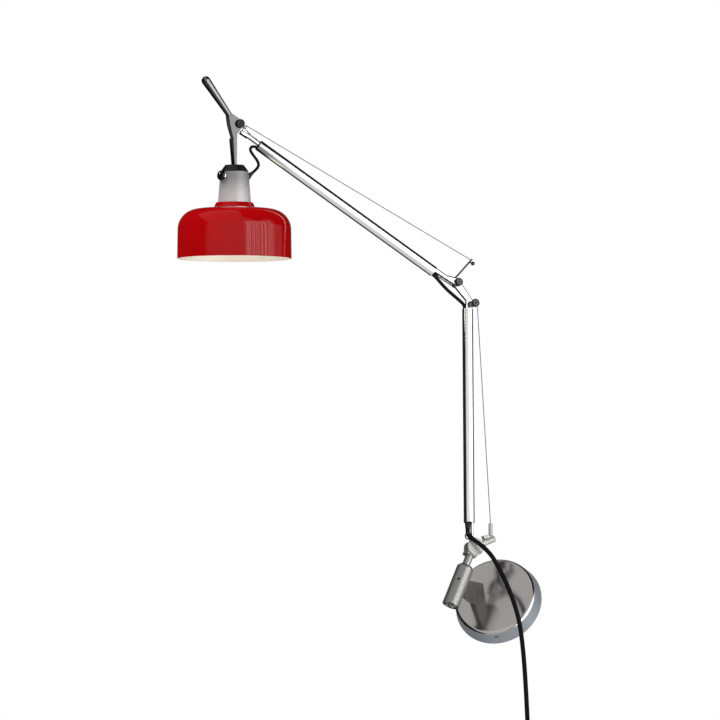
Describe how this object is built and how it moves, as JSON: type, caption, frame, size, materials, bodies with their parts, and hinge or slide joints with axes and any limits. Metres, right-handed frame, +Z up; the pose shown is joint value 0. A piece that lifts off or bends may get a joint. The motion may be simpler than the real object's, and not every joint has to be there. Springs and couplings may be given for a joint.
{
  "type": "articulating wall lamp",
  "caption": "Wall lamp with a round canopy, two sprung tube arms with pull wires, a turning and tilting head with a handle, a dome shade, a rotary switch and a mains cord.",
  "frame": {"origin": "centre of the canopy's back face, on the wall", "axes": "+Z up along the wall, +Y into the wall, the lamp stands out towards -Y"},
  "size_m": [0.5053, 0.5711, 1.0392],
  "materials": {
    "chrome": "polished",
    "tube": "polished",
    "satin": "satin",
    "canopy": "polished",
    "steel": "satin",
    "dark": "polished",
    "black": "satin",
    "gloss_black": "gloss",
    "neck": "frosted",
    "shade": "gloss paint",
    "cord": "woven",
    "bulb": "opal",
    "bulb_cap": "satin"
  },
  "bodies": {
    "wall_side": {"wall_backplate": "steel", "canopy": "canopy", "canopy_grub_screw": "steel", "wall_bracket": "satin", "fin_screws": "steel", "barrel_bush_top": "black", "barrel_bush_bottom": "black", "barrel_set_screw": "steel", "supply_cord": "cord", "cord_coil": "cord", "coil_tie": "black", "plug_cord": "cord", "plug": "gloss_black", "plug_pins": "bulb_cap"},
    "swing_stem": {"stem": "satin", "barrel_end_screw": "chrome", "hinge_disc": "chrome", "hinge_axle": "steel", "base_lever": "chrome", "lower_wire_terminal": "chrome", "wire_clamp_block": "chrome", "cord_bend": "cord"},
    "lower_arm": {"lower_end_rod": "chrome", "lower_tube": "tube", "lower_spring": "steel", "exit_sleeve": "black", "lower_tube_lead": "cord", "cord_guide": "chrome", "elbow_link": "chrome", "wire_pulley": "chrome", "pulley_knob": "dark", "elbow_lever": "chrome", "lower_wire": "steel"},
    "upper_arm": {"upper_fork": "chrome", "elbow_knob": "dark", "elbow_nut": "steel", "upper_tube": "tube", "upper_spring": "steel", "upper_tube_lead": "cord", "upper_end_rod": "chrome", "head_pulley": "chrome", "lead_grommet": "black", "elbow_lead": "cord", "upper_wire": "steel"},
    "head_swivel": {"swivel_eye": "chrome", "head_lead_upper": "cord"},
    "head": {"head_bracket": "satin", "handle": "chrome", "head_knob": "dark", "neck_cap": "black", "neck_shell": "neck", "shade": "shade", "lampholder": "black", "shade_ring": "black", "bulb_cap": "bulb_cap", "bulb": "bulb", "switch_bezel": "chrome", "lead_strain_relief": "black", "head_lead_lower": "cord"},
    "switch": {"switch_knob": "gloss_black"}
  },
  "joints": [
    {"name": "arm_swing", "type": "hinge", "parent": "wall_side", "child": "swing_stem", "pos_m": [-0.02596, -0.095, 0.01049], "axis": [0.3746, 0, 0.9272], "range_deg": [-45, 135], "deforming": ["supply_cord"]},
    {"name": "base_hinge", "type": "hinge", "parent": "swing_stem", "child": "lower_arm", "pos_m": [-0.01116, -0.095, 0.04711], "axis": [0.6556, -0.7071, -0.2649], "range_deg": [-22, 42], "deforming": ["cord_bend", "lower_wire"]},
    {"name": "elbow_hinge", "type": "hinge", "parent": "lower_arm", "child": "upper_arm", "pos_m": [0.0052, -0.22045, 0.42251], "axis": [0.6556, -0.7071, -0.2649], "range_deg": [-50, 60], "deforming": ["elbow_lead", "upper_wire"]},
    {"name": "head_swivel_turn", "type": "hinge", "parent": "upper_arm", "child": "head_swivel", "pos_m": [-0.23512, -0.49494, 0.56043], "axis": [-0.6111, -0.7029, 0.3639], "range_deg": [-48, 72], "deforming": ["head_lead_upper"]},
    {"name": "head_tilt", "type": "hinge", "parent": "head_swivel", "child": "head", "pos_m": [-0.24302, -0.50598, 0.57034], "axis": [0.5489, -0.7076, -0.445], "range_deg": [-80, 6], "deforming": ["head_lead_lower"]},
    {"name": "switch_turn", "type": "hinge", "parent": "head", "child": "switch", "pos_m": [-0.27073, -0.49196, 0.49536], "axis": [-0.5589, -0.771, -0.3052], "range_deg": [0, 90]}
  ]
}
